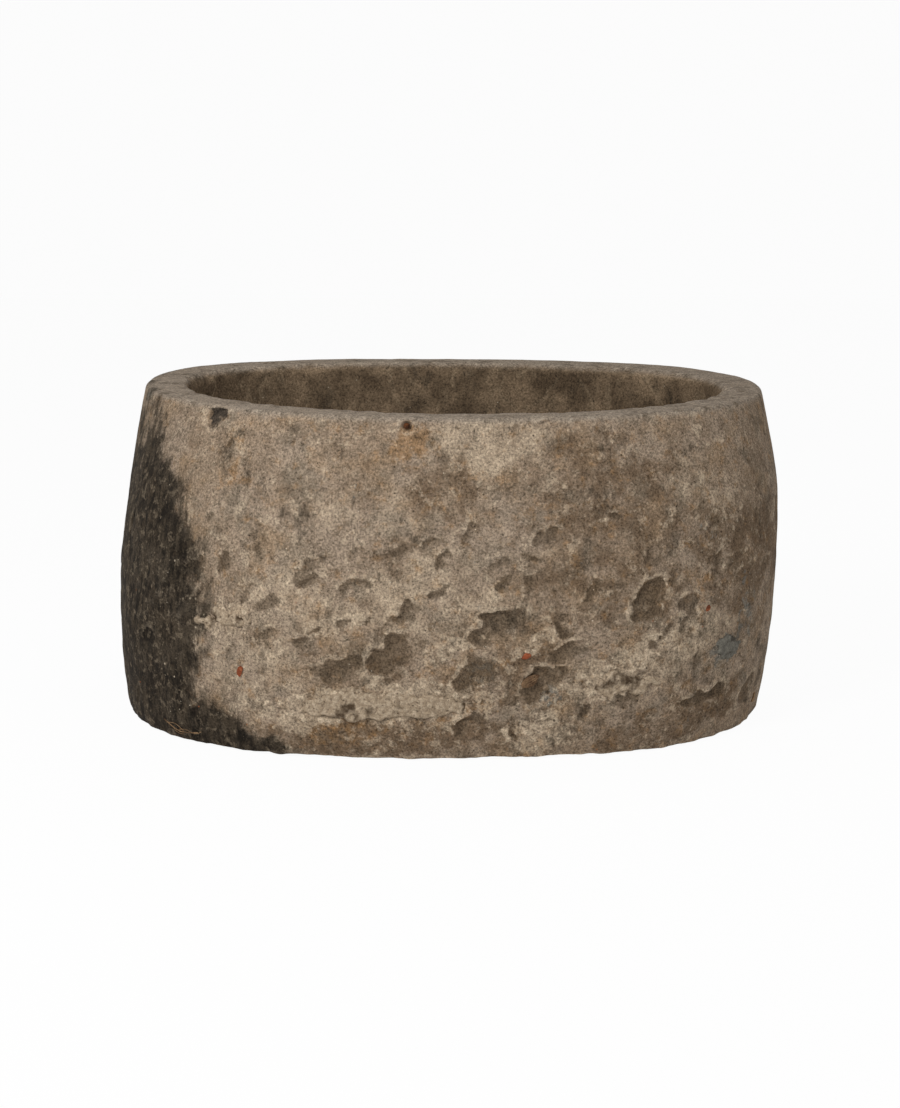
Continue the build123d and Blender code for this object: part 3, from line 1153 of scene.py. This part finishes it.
def edge_distance(place, level, outline):
    """How far points lie inside an outline, or outside it if the value is below 0."""
    inside = np.zeros(len(place), bool)
    nearest = np.full(len(place), 1e9)
    for (x0, z0), (x1, z1) in zip(outline, outline[1:] + outline[:1]):
        share = ((place - x0) * (x1 - x0) + (level - z0) * (z1 - z0)) / ((x1 - x0) ** 2 + (z1 - z0) ** 2)
        share = np.clip(share, 0.0, 1.0)
        away = np.hypot(place - x0 - share * (x1 - x0), level - z0 - share * (z1 - z0))
        nearest = np.minimum(nearest, away)
        crossing = (z0 > level) != (z1 > level)
        slope = (x1 - x0) / (z1 - z0) if z1 != z0 else 0.0
        inside ^= crossing & (place < x0 + (level - z0) * slope)
    return np.where(inside, nearest, -nearest)


def make_crust(name, slot, material):
    """A skin of old mortar or cement on the front, worn through in places."""
    outline = crust_edges[name]
    proud, lumps, wear = crust_relief[name]
    corners = np.array(outline, float)
    low, high = corners.min(axis=0) - 4.0, corners.max(axis=0) + 4.0
    across, up = ((high - low) / crust_step).astype(int)
    settings = {"x_subdivisions": across, "y_subdivisions": up, "size": 1.0}
    crust = add_piece(name + "_piece", bpy.ops.mesh.primitive_grid_add, **settings)
    points = read_points(crust)
    place = low[0] + (points[:, 0] + 0.5) * (high[0] - low[0])
    level = low[1] + (points[:, 1] + 0.5) * (high[1] - low[1])
    spots = np.stack([place, np.zeros_like(place), level], axis=1) * MM
    ragged_edge = edge_distance(place, level, outline) + ripples(spots, "crust edge")
    keep = ragged_edge > -1.5
    lumpy = 0.5 - pebble(spots, 0.0075, 73) + 0.6 * ripple(spots, 0.018, 76)
    hill = smooth(ragged_edge / 4.0) * (proud + lumps * lumpy)
    hill -= (1 - smooth(ragged_edge / 3.0)) * wear + ripples(spots, "crust grain")
    base = front_face(place * MM, level * MM)
    ahead = front_face((place + 2) * MM, level * MM) - front_face((place - 2) * MM, level * MM)
    out = np.stack([ahead / (4 * MM), -np.ones_like(place), np.zeros_like(place)], axis=1)
    out /= np.linalg.norm(out, axis=1)[:, None]
    points = np.stack([place * MM, base, level * MM], axis=1)
    move_points(crust, points + out * np.clip(hill, -4.0, proud + 3.0)[:, None] * MM)
    bpy.ops.object.mode_set(mode="EDIT")
    bpy.ops.mesh.select_mode(type="VERT")
    bpy.ops.mesh.select_all(action="DESELECT")
    bpy.ops.object.mode_set(mode="OBJECT")
    for vertex, kept in zip(crust.data.vertices, keep):
        vertex.select = not kept
    bpy.ops.object.mode_set(mode="EDIT")
    bpy.ops.mesh.delete(type="VERT")
    bpy.ops.mesh.select_all(action="SELECT")
    bpy.ops.mesh.delete_loose(use_verts=True, use_edges=True, use_faces=False)
    bpy.ops.object.mode_set(mode="OBJECT")
    apply_modifier(crust, "body", "SOLIDIFY", thickness=crust_behind * MM, offset=-1.0)
    with editing():
        bpy.ops.mesh.normals_make_consistent(inside=False)
    paint(crust, "sunk", sunk_below(crust, 3))
    finish_piece(crust, slot, material, name)


def make_bit(name, slot, material):
    """A lump or scrap stuck on the front: a block, rounded and broken, turned to lie on the face."""
    place, level, length, width, climb, proud, angular = bits[name]
    bit = add_piece(name + "_piece", bpy.ops.mesh.primitive_cube_add, size=2.0)
    apply_modifier(bit, "rounding", "SUBSURF", levels=4, render_levels=4)
    points = read_points(bit)
    points /= np.linalg.norm(points, axis=1)[:, None] ** 0.6
    spots = points * 0.01 + level
    points *= (1.0 + angular * ripple(spots, 0.008, 81) + angular * 0.5 * ripple(spots, 0.003, 82))[:, None]
    half = np.array([length / 2, width / 2, (proud + bit_behind) / 2])
    points = points * half + np.array([0.0, 0.0, (proud - bit_behind) / 2])
    if slot == "dry_bark":
        points[:, 2] += 1.2 * np.sin(points[:, 0] / length * 2 * pi) * smooth(points[:, 2] + 1.0)
        points[:, 2] += 0.5 * np.sin(points[:, 1] * 2.4) * smooth(points[:, 2])
    if slot == "dry_plant":
        points[:, 2] += 1.5 * (points[:, 1] / width * 2) ** 2
    axes = face_axes(place, level, climb)
    move_points(bit, face_point(place, level) + points * MM @ axes)
    paint(bit, "sunk", sunk_below(bit, 3))
    finish_piece(bit, slot, material, name)


def make_root(material):
    """Dry root strands tangled on the stone just above the ground."""
    curve = bpy.data.curves.new("dry_root_line", "CURVE")
    curve.dimensions = "3D"
    curve.bevel_depth = 0.5 * MM
    curve.bevel_resolution = 2
    curve.use_fill_caps = True
    for places, thickness in root_strands:
        strand = curve.splines.new("NURBS")
        strand.points.add(len(places) - 1)
        for number, (point, (place, level)) in enumerate(zip(strand.points, places)):
            lift = (0.4 + 0.8 * (number % 2)) * MM
            spot = face_point(place, level) + face_axes(place, level, 0)[2] * lift
            point.co = (*spot, 1.0)
            point.radius = thickness * (1.0 - 0.25 * number / len(places))
        strand.order_u = 3
        strand.use_endpoint_u = True
        strand.resolution_u = 8
    root = bpy.data.objects.new("dry_root_piece", curve)
    bpy.context.scene.collection.objects.link(root)
    bpy.ops.object.select_all(action="DESELECT")
    root.select_set(True)
    bpy.context.view_layer.objects.active = root
    bpy.ops.object.convert(target="MESH")
    root = bpy.context.object
    root.data.name = "dry_root_piece"
    with editing():
        bpy.ops.mesh.remove_doubles(threshold=0.01 * MM)
        bpy.ops.mesh.normals_make_consistent(inside=False)
    paint(root, "sunk", np.zeros(len(root.data.vertices)))
    finish_piece(root, "dry_plant", material, "dry_root")


def make_pin(material):
    """The rusted stub of an iron pin in its hole."""
    settings = {"vertices": 24, "radius": pin_radius, "depth": pin_length}
    pin = add_piece("iron_pin_piece", bpy.ops.mesh.primitive_cylinder_add, **settings)
    with editing():
        bpy.ops.mesh.bevel(offset=0.35 * MM, segments=2, affect="EDGES", clamp_overlap=True)
        bpy.ops.mesh.select_all(action="SELECT")
        bpy.ops.mesh.subdivide(number_cuts=2)
    points, normals = read_points(pin), read_normals(pin)
    rusted = ripples(points, "rust") - 0.35
    points += normals * (rusted * MM)[:, None]
    points[:, 2] -= pin_length / 2 + pin_sunk
    move_points(pin, pin_spot + points @ face_axes(pin_place, pin_level, 0))
    paint(pin, "sunk", sunk_below(pin, 3))
    finish_piece(pin, "rusted_iron", material, "iron_pin")


# Each finish: its two main tones, a dark tone for its blotches and pores and for the painted shade in its
# hollows, and its roughness
finish_looks = {
    "old lime mortar": ((156, 138, 116), (182, 164, 141), (76, 62, 48), 0.92),
    "grey cement": ((104, 101, 93), (122, 118, 108), (68, 62, 54), 0.92),
    "red brick": ((140, 72, 46), (158, 96, 66), (96, 56, 40), 0.92),
    "dry bark": ((118, 94, 71), (96, 74, 56), (52, 40, 30), 0.92),
    "dry plant": ((150, 122, 92), (118, 94, 70), (78, 60, 44), 0.92),
    "rusted iron": ((98, 60, 36), (62, 42, 30), (38, 30, 26), 0.8),
}
finish_blotch_size = 0.006


def lump_material(name):
    """A dry mottled material in two tones, with painted shade in its hollows, for what clings to the stone.
    """
    *tones, roughness = finish_looks[name]
    base, second, dark = (colour(*tone) for tone in tones)
    material, tree, shader = start_material(name, roughness)
    small = blotches(tree, Size=finish_blotch_size, Detail=5.0, Low=0.4, High=0.62)
    large = blotches(tree, Size=finish_blotch_size * 3.5, Shift=3.0, Low=0.5, High=0.7)
    tone = blend_colours(tree, large, blend_colours(tree, small, base, second), dark)
    # Painted shade in the hollows of the piece
    painted_shade_in_crevices = times(tree, rising(tree, painted(tree, "sunk"), 0.02, 0.45), 0.75)
    tone = blend_colours(tree, painted_shade_in_crevices, tone, dark)
    # Dark pores: painted shade in small holes, which the bump also sinks
    pores = specks(tree, Size=0.0048, Share=0.22, Width=0.28, Shift=2.0)
    tone = blend_colours(tree, times(tree, pores, 0.7), tone, dark)
    grain = use_group(tree, "grain", Colour=tone, Size=0.0018, Strength=0.34)
    tree.links.new(grain["Colour"], shader.inputs["Base Color"])
    bump(tree, shader, sum_of(tree, "SUBTRACT", grain["Height"], pores), 0.0010, 0.8)
    return material


# The studio


def make_studio():
    """A pale floor that runs up into a backdrop, soft frontal light, and the photograph's camera."""
    material, tree, shader = start_material("studio paper", 0.95)
    shader.inputs["Base Color"].default_value = paper_colour
    shader.inputs["Specular IOR Level"].default_value = 0.0
    plain = tree.nodes.new("ShaderNodeEmission")
    plain.inputs["Color"].default_value = white
    seen = add_node(tree, "LightPath")
    seen_plain = sum_of(tree, "MAXIMUM", seen.outputs["Is Camera Ray"], seen.outputs["Is Glossy Ray"])
    share = times(tree, seen_plain, paper_whiteness)
    mix = add_node(tree, "MixShader", {0: share, 1: shader.outputs[0], 2: plain.outputs[0]})
    tree.links.new(mix.outputs[0], tree.nodes["Material Output"].inputs["Surface"])

    floor = add_piece("studio_floor", bpy.ops.mesh.primitive_plane_add, size=1.0)
    floor.scale = (paper_size, paper_size, 1.0)
    bpy.ops.object.transform_apply(location=False, rotation=False, scale=True)
    bpy.ops.object.mode_set(mode="EDIT")
    bpy.ops.mesh.select_all(action="DESELECT")
    bpy.ops.object.mode_set(mode="OBJECT")
    for edge in floor.data.edges:
        edge.select = all(floor.data.vertices[end].co.y > 5.0 for end in edge.vertices)
    bpy.ops.object.mode_set(mode="EDIT")
    bpy.ops.mesh.select_mode(type="EDGE")
    bpy.ops.mesh.extrude_region_move(TRANSFORM_OT_translate={"value": (0, 0, backdrop_height)})
    bpy.ops.object.mode_set(mode="OBJECT")
    floor.data.materials.append(material)

    world = bpy.data.worlds.new("studio")
    bpy.context.scene.world = world
    world.use_nodes = True
    sky = world.node_tree
    light_path = add_node(sky, "LightPath")
    background = sky.nodes["Background"]
    shown = sum_of(sky, "MAXIMUM", light_path.outputs["Is Camera Ray"], light_path.outputs["Is Glossy Ray"])
    shown = sum_of(sky, "MAXIMUM", shown, light_path.outputs["Is Transmission Ray"])
    strength = add_node(sky, "MapRange", {0: shown, 3: world_light, 4: 1.0}).outputs[0]
    sky.links.new(strength, background.inputs["Strength"])
    background.inputs["Color"].default_value = white

    for name, (place, size, watts) in studio_lights.items():
        bpy.ops.object.light_add(type="AREA", location=place)
        light = bpy.context.object
        light.name = light.data.name = name
        light.data.shape = "RECTANGLE"
        light.data.size, light.data.size_y = size
        light.data.energy = watts
        towards = light_target - light.location
        light.rotation_euler = towards.to_track_quat("-Z", "Y").to_euler()

    bpy.ops.object.camera_add(location=camera_place, rotation=(pi / 2 - camera_tilt, 0, 0))
    camera = bpy.context.object
    camera.name = "photograph_camera"
    camera.data.sensor_fit = "AUTO"
    camera.data.sensor_width = sensor_width
    camera.data.lens = sensor_width * focal_pixels / photograph_height
    camera.data.dof.use_dof = False
    bpy.context.scene.camera = camera
    bpy.context.scene.view_settings.view_transform = "Standard"


# The pieces, in the order in which they are made

finishes = {name: lump_material(name) for name in finish_looks}
make_stone(limestone_material())
for name in ("mortar_crust_left", "mortar_crust_middle", "mortar_crust_right"):
    make_crust(name, "old_mortar", finishes["old lime mortar"])
make_crust("cement_patch", "grey_cement", finishes["grey cement"])
for name in ("brick_bit_left", "brick_bit_middle", "brick_bit_right"):
    make_bit(name, "red_brick", finishes["red brick"])
make_bit("bark_scrap", "dry_bark", finishes["dry bark"])
make_bit("dry_leaf", "dry_plant", finishes["dry plant"])
make_root(finishes["dry plant"])
make_pin(finishes["rusted iron"])
make_studio()
